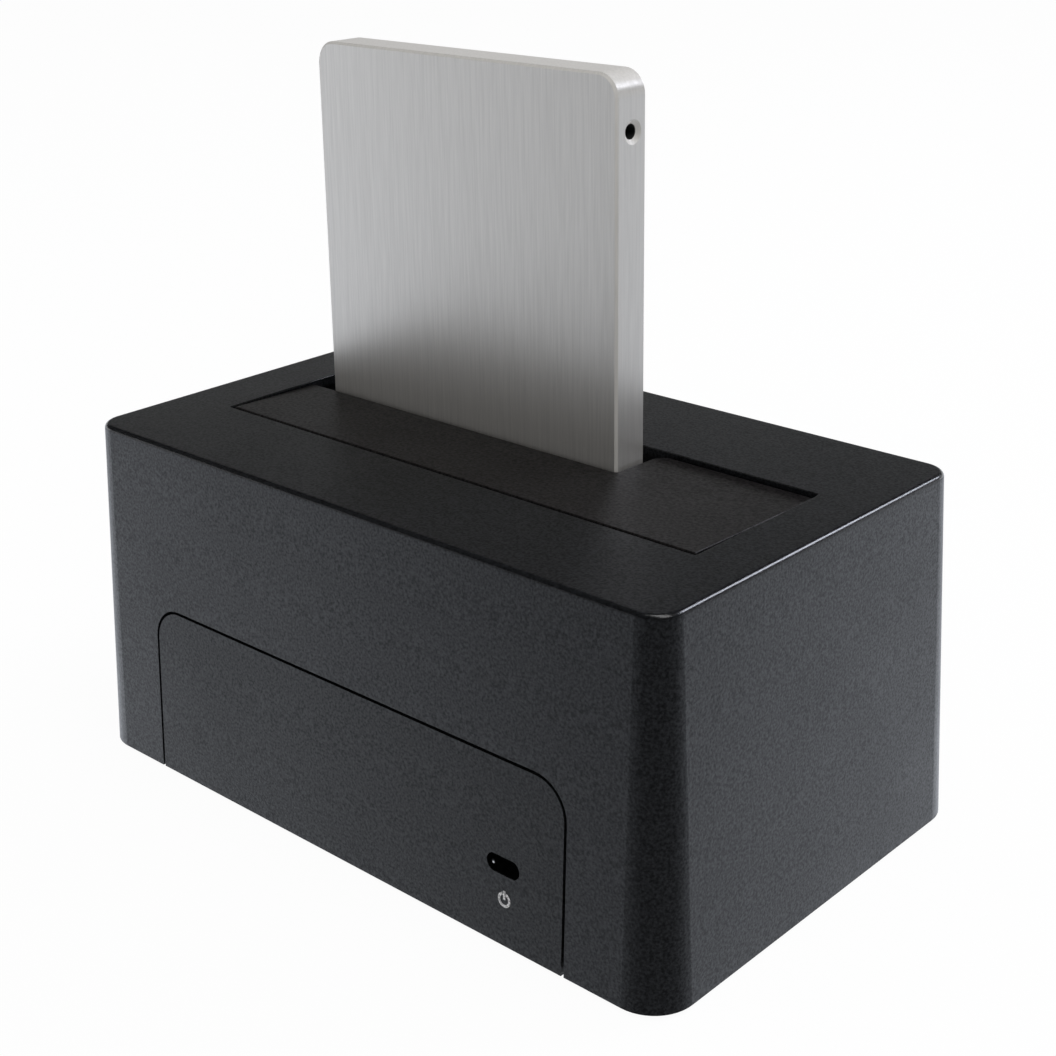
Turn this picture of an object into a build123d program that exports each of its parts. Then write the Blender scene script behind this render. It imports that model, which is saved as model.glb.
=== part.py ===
from build123d import *
import math
import os

# Single-bay hard drive docking station with a 2.5 inch drive standing in it.
# Millimetres. X runs along the front, Y goes from the front to the back, Z is up.
# The origin is on the table, below the middle of the casing.

# Casing
casing_length = 130.5  # along the top face
casing_width = 78.0
casing_height = 63.0
wall_draft = 2.4  # degrees by which every side leans out towards the bottom
upright_corner_radius = 7.5  # at the bottom edge
top_edge_radius = 0.9
side_wall = 2.0
top_wall = 1.8
foot_drop = 0.8  # how far the feet hold the casing off the table
overrun = 1.0  # how far a cut runs past the face it starts from
thread_gap = 0.02  # pilot holes are drawn as the screw has cut them

# Casing posts, which the base screws bite into
case_post_inset = 9.7  # from the bottom edge of the casing to the post's middle
case_post_radius = 3.3
post_web = 1.2

# Bay mouth in the top face
mouth_end_margin = 11.45  # what is left of the top face at each end
mouth_width = 32.4
mouth_x = 0.9  # its middle, from the middle of the casing
mouth_y = -1.4
mouth_corner_radius = 0.4
mouth_edge_radius = 0.2

# Arched panels in the front and the back
arch_margin = 16.05  # what is left of the face at each side
arch_height = 32.3  # above the bottom edge of the casing
arch_corner_radius = 6.5
panel_gap = 0.55
lip_thickness = 1.2
lip_reach = 2.5  # how far the lip goes behind the casing wall
lip_rim = 2.0  # how far the lip goes behind the panel itself

# Base plate
plate_thickness = 2.0
plate_gap = 0.2
screw_cup_radius = 4.6
screw_cup_height = 1.6
plate_post_radius = 2.6
plate_post_offsets = (-21.0, 11.0)  # from the USB port's middle
plate_post_inset = 8.0  # from the casing's back
vent_count = 11
vent_pitch = 4.4
vent_width = 2.0
vent_length = 24.0
vent_y = -6.0

# Feet
foot_radius = 4.5
foot_recess = 0.6
foot_end_inset = 19.25  # from the casing's top edge to the foot's middle
foot_side_inset = 8.0
foot_edge_radius = 0.4
foot_room = 0.1

# Drive: 2.5 inch, 7 mm high
drive_width = 69.85
drive_length = 100.2
drive_height = 7.0
drive_left_gap = 5.3  # from the left end of the mouth
drive_front_inset = 11.5  # from the back edge of the mouth to the drive's front
drive_end_height = 28.7  # its connector end, above the table
drive_corner_radius = 4.0
drive_edge_chamfer = 0.45
drive_skin = 0.8
drive_side_wall = 2.2
drive_rim = 0.8
drive_cover_gap = 0.08
drive_inner_corner = 1.5
side_hole_radius = 1.25  # M3 tapped hole, at its core
side_hole_depth = 3.2
side_hole_lift = 3.0  # from the drive's underside
side_hole_places = (14.0, 90.6)  # from the connector end
side_hole_sink_radius = 2.05
side_hole_sink_depth = 0.6
side_boss_depth = 4.0
side_boss_width = 6.5
drive_clear_front = 0.9
drive_clear_side = 0.75

# Drive electronics
drive_board_margin = 4.175
drive_board_length = 60.0
drive_board_thickness = 1.0
drive_board_lift = 7.0  # from the connector end to the board's near edge
drive_post_radius = 2.2
drive_post_inset = 3.6
drive_chip_height = 1.0
drive_controller = 13.0
drive_memory_length = 18.0
drive_memory_width = 14.0
drive_memory_pitch = 21.0
drive_memory_lift = 44.0
drive_controller_lift = 22.0
drive_screw_radius = 0.8
drive_screw_head_radius = 1.5
drive_screw_head_height = 0.6
drive_screw_length = 2.4
cover_screw_inset = 3.2
cover_boss_radius = 2.2
cover_screw_length = 2.6
cover_sink_depth = 0.35

# Serial ATA connector, the same on both halves
key_from_edge = 30.12  # the gap between its two tongues, from the drive's left edge
tongue_gap = 2.4
power_tongue = 20.6
signal_tongue = 10.4
tongue_thickness = 1.2
tongue_depth = 4.6
tongue_recess = 0.3
tongue_foot = 2.3
tongue_foot_length = 1.2
tongue_room = 0.25
plug_block_height = 3.0
plug_arm = 0.9
contact_pitch = 1.27
contact_width = 0.6
contact_thickness = 0.15
contact_foot_length = 1.0
power_contacts = 15
signal_contacts = 7
socket_end_wall = 1.5
socket_nose_width = 4.9
socket_base_width = 6.6
socket_base_end = 1.0
socket_nose_height = 4.6
socket_shoulder_gap = 0.2
socket_window_gap = 0.5

# Flap and its hinge
flap_thickness = 1.5
flap_gap = 0.6
flap_rest_drop = 0.7  # its free edge rests this much below the casing's top
flap_corner_radius = 2.6  # beside the notch
flap_inner_radius = 0.8
flap_outer_radius = 0.3
flap_edge_radius = 0.25
hinge_depth = 3.4  # hinge axis below the top face
hinge_forward = 1.8  # hinge axis in front of the mouth
hinge_pin_radius = 0.75
hinge_play = 0.05
ear_radius = 1.4
ear_thickness = 2.6
ear_reach = 6.0
stop_reach = 0.8
stop_thickness = 1.4
stop_width = 4.0
stop_inboard = 2.0
stop_setback = 2.5
stop_gap = 0.1
stop_root = 0.8  # how far the stop reaches up into the flap
flap_rib_height = 0.8
flap_rib_thickness = 1.0
flap_rib_inset = 6.0

# Torsion springs on the hinge pin
spring_wire_radius = 0.25
spring_coil_radius = 1.12
spring_pitch = 0.95
spring_turns = 4
spring_leg = 7.0
spring_leg_drop = 5.0
spring_inset = 9.0  # from the flap's end to the coil
spring_seat_gap = 0.05

# Bay liner
liner_wall = 1.5
liner_end_room = 1.2  # inner end faces stand this far outside the mouth
liner_back_room = 0.8
liner_hinge_room = 0.6
liner_floor_top = 23.5
liner_floor = 1.6
front_rib_thickness = 1.6
front_rib_shares = (-0.34, 0.02, 0.36)  # of the mouth's length, from its middle
front_rib_gap = 0.3  # to the rib of the folded flap
front_rib_top_drop = 4.6  # below the hinge axis
guide_thickness = 1.6
guide_gap = 0.4
guide_top_drop = 6.0  # below the casing's underside
rear_guide_places = (10.0, 58.0)  # from the drive's left edge
low_guide_inset = 9.3  # from the mouth's right end to the guide that the flap swings over
low_guide_gap = 1.0
side_guide_rise = 22.0
seat_length = 4.4
seat_inset = 0.4
tab_width = 8.0
tab_reach = 7.2
tab_thickness = 2.0
tab_drop = 7.0  # tab's upper face, below the casing's underside
tab_inset = 25.25  # from the casing's end to the tab's middle
tab_boss_radius = 2.8
standoff_radius = 2.8

# Main board
board_thickness = 1.6
board_gap = 1.4  # between the liner's floor and the board
board_left_margin = 15.25  # to the casing's top edge
board_right_margin = 13.25
board_front_margin = 6.0
board_back_margin = 2.5
board_corner_radius = 1.5
board_screw_inset = 21.25  # from the casing's end
board_screw_front_inset = 3.6  # from the mouth's front edge
board_screw_drive_gap = 2.7  # behind the drive
board_hole_play = 0.2

# Parts on the main board's underside: middle in X from the DC jack, middle in Y,
# then length, width and height
bridge_chip_place = (-46.0, -2.0)
bridge_chip_size = (9.0, 9.0, 1.0)
flash_chip_place = (-60.0, 4.0)
flash_chip_size = (5.0, 4.0, 1.6)
crystal_place = (-46.0, 10.0)
crystal_size = (5.0, 3.2, 1.1)
regulator_place = (-4.0, -6.0)
regulator_size = (6.5, 6.1, 2.3)
inductor_place = (-16.0, -2.0)
inductor_size = (7.0, 7.0, 4.0)
capacitor_places = ((-18.0, 13.0), (-9.0, 13.0), (0.0, 13.0))
capacitor_radius = 3.15
capacitor_height = 7.7
capacitor_foot = 6.6
capacitor_foot_height = 0.8
chip_edge = 0.15

# USB 3 type B port in the back panel
usb_inset = 37.2  # from the right side of the arch
usb_width = 12.0
usb_height = 13.0
usb_depth = 18.0
usb_wall = 0.4
usb_mouth_width = 8.45
usb_mouth_height = 7.8
usb_hump_width = 5.6
usb_hump_height = 2.6
usb_cavity_depth = 14.0
usb_mouth_lift = 1.2  # from the board to the near side of the mouth
usb_tongue_width = 5.6
usb_tongue_height = 3.2
usb_tongue_depth = 9.5
usb_upper_width = 4.6
usb_upper_height = 0.9
usb_upper_depth = 10.0
usb_upper_lift = 1.0
port_recess = 0.3  # ports end this far inside the back face
port_room = 0.3

# DC jack, 5.5 by 2.1 mm, in the back panel
jack_inset = 15.2  # from the right side of the arch
jack_width = 9.0
jack_height = 11.0
jack_depth = 14.0
jack_axis_drop = 6.4  # from the board to the jack's axis
jack_nose_radius = 4.1
jack_bore_radius = 3.2
jack_bore_depth = 11.0
jack_pin_radius = 1.05
jack_pin_root = 1.5
jack_pin_neck_radius = 0.85
jack_pin_neck_rise = 0.3  # above the bottom of the jack's bore
jack_pin_setback = 0.8
jack_spring_thickness = 0.3
jack_spring_width = 2.4
jack_spring_length = 6.0
jack_spring_inset = 2.0
jack_spring_reach = 0.3

# Power button in the front panel
button_inset = 12.7  # from the right side of the arch
button_lift = 13.85  # above the bottom edge of the casing
button_hole_length = 6.8
button_hole_height = 3.1
button_gap = 0.15
button_recess = 0.12
button_travel = 0.6
button_flange_length = 9.4
button_flange_height = 5.4
button_flange_thickness = 1.0
button_stem_radius = 1.3
button_stem_length = 1.2
light_pipe_radius = 0.35
light_pipe_offset = -2.1  # from the button's middle
light_pipe_length = 6.5
switch_offset = 1.2
switch_size = 4.5
switch_depth = 3.5
switch_plunger_radius = 1.6
switch_plunger_play = 0.3
switch_plunger_stroke = 1.5
switch_plunger_root = 1.2
switch_pin_radius = 0.35
switch_pin_spread = 1.6
button_board_width = 20.0
button_board_thickness = 1.6
button_board_bottom = 5.6
button_board_screw_spread = 7.6
button_board_screw_lift = 8.6
button_boss_radius = 2.1
led_length = 1.6
led_height = 0.8
led_depth = 0.6
header_length = 10.2
header_size = 2.5
header_pin_pitch = 2.54
header_pin_width = 0.64
header_pins = 4
header_pin_reach = 1.6

# Screws: shank radius, shank length, head radius, head height
case_screw = (1.4, 9.0, 2.6, 1.6)
tab_screw = (1.1, 6.0, 2.0, 1.3)
board_screw = (1.1, 4.2, 2.0, 1.3)
button_screw = (0.9, 4.4, 1.6, 1.0)
drive_board_screw = (
    drive_screw_radius,
    drive_screw_length,
    drive_screw_head_radius,
    drive_screw_head_height,
)
cover_screw = (drive_screw_radius, cover_screw_length, drive_screw_head_radius, cover_sink_depth)
screw_slot_width_share = 0.24  # of the head's radius
screw_slot_length_share = 1.1
screw_slot_depth_share = 0.5  # of the head's height
case_screw_sink_gap = 0.4

# Places worked out from the sizes above
draft_slope = math.tan(math.radians(wall_draft))
base_length = casing_length + 2 * casing_height * draft_slope
base_width = casing_width + 2 * casing_height * draft_slope
mouth_length = casing_length - 2 * mouth_end_margin
arch_width = casing_length - 2 * arch_margin
button_x = arch_width / 2 - button_inset
jack_x = arch_width / 2 - jack_inset
usb_x = arch_width / 2 - usb_inset
foot_x = casing_length / 2 - foot_end_inset
foot_y = casing_width / 2 - foot_side_inset
tab_x = casing_length / 2 - tab_inset
plate_post_x = [usb_x + offset for offset in plate_post_offsets]
plate_post_y = casing_width / 2 - plate_post_inset
board_left = board_left_margin - casing_length / 2
board_right = casing_length / 2 - board_right_margin
board_front = board_front_margin - casing_width / 2
board_back = casing_width / 2 - board_back_margin
board_screw_x = casing_length / 2 - board_screw_inset
casing_bottom = foot_drop
casing_top = foot_drop + casing_height
ceiling = casing_top - top_wall
plate_top = casing_bottom + plate_thickness
case_post_x = base_length / 2 - case_post_inset
case_post_y = base_width / 2 - case_post_inset
case_post_bottom = plate_top + screw_cup_height
mouth_left = mouth_x - mouth_length / 2
mouth_right = mouth_x + mouth_length / 2
mouth_front = mouth_y - mouth_width / 2
mouth_back = mouth_y + mouth_width / 2
drive_left = mouth_left + drive_left_gap
drive_front = mouth_back - drive_front_inset
drive_right = drive_left + drive_width
drive_back = drive_front + drive_height
board_screw_y = (mouth_front + board_screw_front_inset, drive_back + board_screw_drive_gap)
drive_board_width = drive_width - 2 * drive_board_margin
drive_top = drive_end_height + drive_length
tongue_y = drive_front + drive_height / 2
key_x = drive_left + key_from_edge
power_left = key_x - tongue_gap / 2 - power_tongue
signal_right = key_x + tongue_gap / 2 + signal_tongue
hinge_y = mouth_front - hinge_forward
hinge_z = casing_top - hinge_depth
flap_left = mouth_left + flap_gap
flap_right = mouth_right - flap_gap
flap_front = mouth_front + flap_gap
flap_back = mouth_back - flap_gap
notch_right = drive_right + drive_clear_side
notch_front = drive_front - drive_clear_front
flap_rest_angle = math.degrees(math.asin(flap_rest_drop / (flap_back - hinge_y)))
folded_flap_front = hinge_y + hinge_depth - flap_thickness
flap_reach = math.hypot(flap_back - hinge_y, hinge_depth)
guide_front = drive_back + guide_gap
low_guide_drop = math.sqrt(flap_reach**2 - (guide_front - hinge_y) ** 2) + low_guide_gap
liner_left = mouth_left - liner_end_room
liner_right = mouth_right + liner_end_room
liner_front = hinge_y - ear_radius - liner_hinge_room
liner_back = mouth_back + liner_back_room
liner_floor_bottom = liner_floor_top - liner_floor
tab_top = ceiling - tab_drop
board_top = liner_floor_bottom - board_gap
board_bottom = board_top - board_thickness
button_z = casing_bottom + button_lift
socket_left = power_left - socket_end_wall - tongue_room
socket_right = signal_right + socket_end_wall + tongue_room


def face_y(height):
    """How far the front and the back face stand from the middle at this height."""
    return base_width / 2 - (height - casing_bottom) * draft_slope


button_panel_back = side_wall - face_y(button_z)
flange_back = button_panel_back + button_flange_thickness
plunger_tip = flange_back + button_stem_length
switch_front = plunger_tip + switch_plunger_stroke
button_board_front = switch_front + switch_depth
button_board_back = button_board_front + button_board_thickness
port_back = face_y(board_bottom - usb_height) - port_recess
jack_z = board_bottom - jack_axis_drop
jack_body_back = face_y(board_bottom) - side_wall - port_recess


def block(x_span, y_span, z_span):
    """A box between three pairs of places."""
    middle = Pos(sum(x_span) / 2, sum(y_span) / 2, sum(z_span) / 2)
    return middle * Box(x_span[1] - x_span[0], y_span[1] - y_span[0], z_span[1] - z_span[0])


def around(middle, size):
    """The pair of places half a size to each side of a middle."""
    return (middle - size / 2, middle + size / 2)


def post(place, z_span, radius):
    """An upright round bar."""
    return Pos(place[0], place[1], sum(z_span) / 2) * Cylinder(radius, z_span[1] - z_span[0])


def bar_along_y(x, z, y_span, radius):
    """A round bar from the front to the back."""
    return Pos(x, sum(y_span) / 2, z) * Rot(90, 0, 0) * Cylinder(radius, y_span[1] - y_span[0])


def bar_along_x(y, z, x_span, radius):
    """A round bar from left to right."""
    return Pos(sum(x_span) / 2, y, z) * Rot(0, 90, 0) * Cylinder(radius, x_span[1] - x_span[0])


def rounded_along_y(x, z, length, height, radius, y_span):
    """A bar from the front to the back whose section is a rounded rectangle."""
    outline = Rot(90, 0, 0) * RectangleRounded(length, height, radius)
    bar = extrude(outline, amount=(y_span[1] - y_span[0]) / 2, both=True)
    return Pos(x, sum(y_span) / 2, z) * bar


def four_places(x, y):
    """The four places that mirror each other about the middle."""
    return [(sx * x, sy * y) for sx in (-1, 1) for sy in (-1, 1)]


def screw(sizes):
    """A pan head screw whose tip points up and whose head bears at the origin."""
    shank_radius, shank_length, head_radius, head_height = sizes
    body = Pos(0, 0, shank_length / 2) * Cylinder(shank_radius, shank_length)
    body += Pos(0, 0, -head_height / 2) * Cylinder(head_radius, head_height)
    slot_length = screw_slot_length_share * head_radius
    slot_width = screw_slot_width_share * head_radius
    slot_depth = screw_slot_depth_share * head_height
    for turn in (0, 90):
        slot = Box(slot_length, slot_width, 2 * slot_depth)
        body -= Pos(0, 0, -head_height) * Rot(0, 0, turn) * slot
    return body


def casing_block(inset, height):
    """The casing's solid outer form, drawn in by an inset on all four sides."""
    outline = RectangleRounded(
        base_length - 2 * inset, base_width - 2 * inset, upright_corner_radius - inset
    )
    return Pos(0, 0, casing_bottom) * extrude(outline, amount=height, taper=wall_draft)


def wall_layer(outer_inset, inner_inset):
    """The skin of the casing between two insets."""
    return casing_block(outer_inset, casing_height) - casing_block(inner_inset, casing_height)


def arch_prism(grow):
    """The arch shape, carried right through the casing from front to back."""
    reach = (-base_width / 2 - overrun, base_width / 2 + overrun)
    return rounded_along_y(
        0,
        casing_bottom,
        arch_width + 2 * grow,
        2 * (arch_height + grow),
        arch_corner_radius + grow,
        reach,
    )


def in_mouth(point):
    """True for a point on the edge of the bay mouth or inside it."""
    inside_x = mouth_left - mouth_edge_radius < point.X < mouth_right + mouth_edge_radius
    inside_y = mouth_front - mouth_edge_radius < point.Y < mouth_back + mouth_edge_radius
    return inside_x and inside_y


def tab_places():
    """Where the liner's tabs are screwed to the casing."""
    front_y = liner_front - liner_wall - tab_reach / 2
    back_y = liner_back + liner_wall + tab_reach / 2
    return [(sx * tab_x, y) for sx in (-1, 1) for y in (front_y, back_y)]


def make_top_shell():
    outside = casing_block(0, casing_height)
    outside = fillet(outside.edges().group_by(Axis.Z)[-1], top_edge_radius)
    hollow = casing_block(side_wall, casing_height - top_wall)
    shell = outside - hollow
    mouth = RectangleRounded(mouth_length, mouth_width, mouth_corner_radius)
    shell -= Pos(mouth_x, mouth_y, ceiling - overrun) * extrude(mouth, amount=top_wall + 2 * overrun)
    rim = [e for e in shell.edges().group_by(Axis.Z)[-1] if in_mouth(e.center())]
    shell = fillet(rim, mouth_edge_radius)
    shell -= arch_prism(0)
    for x, y in four_places(case_post_x, case_post_y):
        shell += post((x, y), (case_post_bottom, ceiling), case_post_radius)
        web_x = (x, math.copysign(base_length / 2, x))
        web = block(sorted(web_x), around(y, post_web), (case_post_bottom, ceiling))
        shell += web & hollow
        tip = case_post_bottom + case_screw[1]
        shell -= post((x, y), (case_post_bottom - overrun, tip), case_screw[0] + thread_gap)
    for place in tab_places():
        shell += post(place, (tab_top, ceiling), tab_boss_radius)
        tip = tab_top + tab_screw[1] - tab_thickness
        shell -= post(place, (tab_top - overrun, tip + thread_gap), tab_screw[0] + thread_gap)
    return shell


def half_space(side):
    """A block that holds the front half (-1) or the back half (1) of the casing."""
    reach = base_length / 2 + overrun
    far = side * (base_width / 2 + overrun)
    return block((-reach, reach), sorted((0, far)), (0, casing_top))


def panel_blank(side):
    """An arched panel with the lip that holds it behind the casing wall."""
    face = wall_layer(0, side_wall) & arch_prism(-panel_gap)
    ring = arch_prism(lip_reach) - arch_prism(-panel_gap - lip_rim)
    lip = wall_layer(side_wall, side_wall + lip_thickness) & ring
    lip -= block(
        around(0, base_length), around(0, base_width), (casing_bottom - overrun, plate_top)
    )
    return (face + lip) & half_space(side)


def button_board_screw_places():
    return [(button_x + s * button_board_screw_spread, button_board_screw_lift) for s in (-1, 1)]


def make_front_panel():
    panel = panel_blank(-1)
    for x, z in button_board_screw_places():
        reach = bar_along_y(x, z, (-face_y(z), button_board_front), button_boss_radius)
        panel += reach & casing_block(side_wall / 2, casing_height)
        thread = (button_board_back - button_screw[1], button_board_front + overrun)
        panel -= bar_along_y(x, z, thread, button_screw[0] + thread_gap)
    hole = rounded_along_y(
        button_x,
        button_z,
        button_hole_length,
        button_hole_height,
        button_hole_height / 2 - button_gap / 2,
        (-base_width / 2 - overrun, flange_back),
    )
    return panel - hole


def make_rear_panel():
    panel = panel_blank(1)
    deep = (base_width / 2 - side_wall - lip_thickness - overrun * 2, base_width / 2 + overrun)
    usb_z = board_bottom - usb_height / 2
    panel -= block(
        around(usb_x, usb_width + 2 * port_room), deep, around(usb_z, usb_height + 2 * port_room)
    )
    panel -= bar_along_y(jack_x, jack_z, deep, jack_nose_radius + port_room)
    return panel


def make_base_plate():
    inset = side_wall + plate_gap
    plate = casing_block(inset, plate_thickness)
    for place in four_places(case_post_x, case_post_y):
        plate += post(place, (casing_bottom, case_post_bottom), screw_cup_radius)
        sink = case_post_bottom - plate_thickness
        plate -= post(
            place, (casing_bottom - overrun, sink), case_screw[2] + case_screw_sink_gap
        )
        plate -= post(place, (casing_bottom, case_post_bottom + overrun), case_screw[0] + plate_gap)
    for x in plate_post_x:
        plate += post((x, plate_post_y), (plate_top, board_bottom), plate_post_radius)
    for place in four_places(foot_x, foot_y):
        recess = (casing_bottom - overrun, casing_bottom + foot_recess)
        plate -= post(place, recess, foot_radius + foot_room)
    for index in range(vent_count):
        x = (index - (vent_count - 1) / 2) * vent_pitch
        slot = SlotOverall(vent_length, vent_width, rotation=90)
        cut = extrude(slot, amount=plate_thickness + 2 * overrun)
        plate -= Pos(x, vent_y, casing_bottom - overrun) * cut
    return plate


def make_foot(place):
    foot = post(place, (0, casing_bottom + foot_recess), foot_radius)
    return fillet(foot.edges().group_by(Axis.Z)[0], foot_edge_radius)


def hinge_turn(shape):
    """Turns a piece of the flap from level to where it rests, about the hinge pin."""
    return shape.rotate(Axis((0, hinge_y, hinge_z), (1, 0, 0)), -flap_rest_angle)


def flap_outline():
    """The L-shaped plate, seen from above, with its notch at the back left."""
    whole = Pos((flap_left + flap_right) / 2, (flap_front + flap_back) / 2) * Rectangle(
        flap_right - flap_left, flap_back - flap_front
    )
    notch = Pos((flap_left + notch_right) / 2, (notch_front + flap_back) / 2) * Rectangle(
        notch_right - flap_left, flap_back - notch_front
    )
    outline = whole - notch
    corners = outline.vertices().sort_by(Axis.X)
    beside_notch = [v for v in corners if abs(v.X - notch_right) < overrun]
    inner, outer = sorted(beside_notch, key=lambda v: v.Y)
    outline = fillet([outer], flap_corner_radius)
    inner = [v for v in outline.vertices() if abs(v.X - notch_right) < overrun / 2]
    outline = fillet([min(inner, key=lambda v: v.Y)], flap_inner_radius)
    ends = [
        v
        for v in outline.vertices()
        if abs(v.X - flap_left) < overrun / 2 or abs(v.X - flap_right) < overrun / 2
    ]
    return fillet(ends, flap_outer_radius)


def ear_outline():
    """Side view of a hinge ear, around the pin and under the plate."""
    under = casing_top - flap_thickness
    points = [
        (hinge_y, hinge_z - ear_radius),
        (hinge_y + ear_reach, under),
        (flap_front, under),
        (flap_front, hinge_z + ear_radius),
        (hinge_y, hinge_z + ear_radius),
    ]
    web = Polygon(*points, align=None)
    return web + Pos(hinge_y, hinge_z) * Circle(ear_radius)


def make_flap():
    under = casing_top - flap_thickness
    plate = Pos(0, 0, under) * extrude(flap_outline(), amount=flap_thickness)
    plate = fillet(plate.edges().group_by(Axis.Z)[-1], flap_edge_radius)
    ear_plane = Plane((0, 0, 0), x_dir=(0, 1, 0), z_dir=(1, 0, 0))
    ear = extrude(ear_plane * ear_outline(), amount=ear_thickness)
    for x in (flap_left, flap_right - ear_thickness):
        plate += Pos(x, 0, 0) * ear
    rib_y = notch_front - flap_rib_inset
    rib_span = (flap_left + flap_rib_inset, flap_right - flap_rib_inset)
    plate += block(rib_span, around(rib_y, flap_rib_thickness), (under - flap_rib_height, under))
    plate -= bar_along_x(
        hinge_y, hinge_z, (flap_left - overrun, flap_right + overrun), hinge_pin_radius + hinge_play
    )
    flap = hinge_turn(plate)
    stop_z = (ceiling - stop_gap - stop_thickness, ceiling - stop_gap)
    for end, side, back in ((flap_left, -1, notch_front), (flap_right, 1, flap_back)):
        stop_y = (back - stop_setback - stop_width, back - stop_setback)
        reach = sorted((end - side * stop_inboard, end + side * (flap_gap + stop_reach)))
        flap += block(reach, stop_y, stop_z)
        root = sorted((end - side * stop_inboard, end - side * stop_gap))
        flap += block(root, stop_y, (stop_z[0], stop_z[1] + stop_root))
    return flap


def make_flap_pin():
    return bar_along_x(
        hinge_y, hinge_z, (liner_left - liner_wall, liner_right + liner_wall), hinge_pin_radius
    )


def spring_coil(x_start):
    """One torsion spring: a coil on the pin, a leg under the flap, a leg down the liner's wall."""
    half_turns = 2 * spring_turns
    points = []
    for index in range(2 * half_turns + 1):
        angle = math.radians(90 * index)
        offset = (
            index * spring_pitch / 4,
            spring_coil_radius * math.sin(angle),
            spring_coil_radius * math.cos(angle),
        )
        points.append(Vector(x_start, hinge_y, hinge_z) + Vector(*offset))
    arcs = [
        ThreePointArc(points[2 * k], points[2 * k + 1], points[2 * k + 2])
        for k in range(half_turns)
    ]
    path = Wire(arcs)
    start = Plane(origin=points[0], z_dir=arcs[0] % 0)
    coil = sweep(start * Circle(spring_wire_radius), path=path)
    least = min(
        (a - b).length for i, a in enumerate(points) for b in points[i + 3 :]
    ) - 2 * spring_wire_radius
    print("least gap between the spring's turns", round(least, 3))
    moving = bar_along_y(
        points[0].X, points[0].Z, (points[0].Y, points[0].Y + spring_leg), spring_wire_radius
    )
    return coil, moving, points[-1]


def make_flap_spring(side):
    x_start = flap_left + spring_inset if side < 0 else flap_right - spring_inset
    coil, moving, last = spring_coil(x_start - (spring_turns * spring_pitch if side > 0 else 0))
    wall_y = liner_front + spring_wire_radius + spring_seat_gap
    back_leg = bar_along_y(last.X, last.Z, (wall_y, last.Y), spring_wire_radius)
    down_leg = post((last.X, wall_y), (last.Z - spring_leg_drop, last.Z), spring_wire_radius)
    corner = Pos(last.X, wall_y, last.Z) * Sphere(spring_wire_radius)
    return coil + moving + back_leg + down_leg + corner


def make_bay_liner():
    outer_x = (liner_left - liner_wall, liner_right + liner_wall)
    outer_y = (liner_front - liner_wall, liner_back + liner_wall)
    liner = block(outer_x, outer_y, (liner_floor_bottom, ceiling))
    liner -= block(
        (liner_left, liner_right), (liner_front, liner_back), (liner_floor_top, ceiling + overrun)
    )
    for share in front_rib_shares:
        x = mouth_x + share * mouth_length
        rib_y = (liner_front, folded_flap_front - flap_rib_height - front_rib_gap)
        rib_z = (liner_floor_top, hinge_z - front_rib_top_drop)
        liner += block(around(x, front_rib_thickness), rib_y, rib_z)
    guides = [(drive_left + place, ceiling - guide_top_drop) for place in rear_guide_places]
    guides.append((mouth_right - low_guide_inset, hinge_z - low_guide_drop))
    for x, top in guides:
        guide_x = around(x, guide_thickness)
        liner += block(guide_x, (guide_front, liner_back), (liner_floor_top, top))
    side_z = (liner_floor_top, drive_end_height + side_guide_rise)
    liner += block(
        (liner_left, drive_left - guide_gap), around(tongue_y, guide_thickness), side_z
    )
    seat_y = (drive_front + seat_inset, drive_back - seat_inset)
    for x in (drive_left + seat_inset, drive_right - seat_inset - seat_length):
        liner += block((x, x + seat_length), seat_y, (liner_floor_top, drive_end_height))
    for x, y in tab_places():
        tab_y = (y - tab_reach / 2, y + tab_reach / 2)
        liner += block(around(x, tab_width), tab_y, (tab_top - tab_thickness, tab_top))
        hole = (tab_top - tab_thickness - overrun, tab_top + overrun)
        liner -= post((x, y), hole, tab_screw[0] + board_hole_play)
    for x, y in board_screw_places():
        liner += post((x, y), (board_top, liner_floor_bottom), standoff_radius)
        tip = board_bottom + board_screw[1] + thread_gap
        liner -= post((x, y), (board_top - overrun, tip), board_screw[0] + thread_gap)
    window_end = socket_base_end + socket_window_gap
    window_x = (socket_left - window_end, socket_right + window_end)
    window_y = around(tongue_y, socket_base_width + 2 * socket_window_gap)
    liner -= block(window_x, window_y, (liner_floor_bottom - overrun, liner_floor_top + overrun))
    pin_x = (liner_left - liner_wall - overrun, liner_right + liner_wall + overrun)
    liner -= bar_along_x(hinge_y, hinge_z, pin_x, hinge_pin_radius + thread_gap)
    return liner


def board_screw_places():
    return [(sx * board_screw_x, y) for sx in (-1, 1) for y in board_screw_y]


def make_main_board():
    outline = RectangleRounded(board_right - board_left, board_back - board_front, board_corner_radius)
    middle = Pos((board_left + board_right) / 2, (board_front + board_back) / 2, board_bottom)
    board = middle * extrude(outline, amount=board_thickness)
    for place in board_screw_places():
        hole = (board_bottom - overrun, board_top + overrun)
        board -= post(place, hole, board_screw[0] + board_hole_play)
    return board


def tongue_spans():
    """X spans of the power tongue and of the signal tongue."""
    return (
        (power_left, power_left + power_tongue),
        (signal_right - signal_tongue, signal_right),
    )


def tongues(z_span, room):
    """Both L-shaped tongues, grown all round by a room to make their slots."""
    shape = None
    for left, right in tongue_spans():
        blade = block(
            (left - room, right + room), around(tongue_y, tongue_thickness + 2 * room), z_span
        )
        foot_y = (tongue_y - tongue_foot + tongue_thickness / 2 - room, tongue_y + room)
        foot = block((left - room, left + tongue_foot_length + room), foot_y, z_span)
        blade += foot
        shape = blade if shape is None else shape + blade
    return shape


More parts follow.
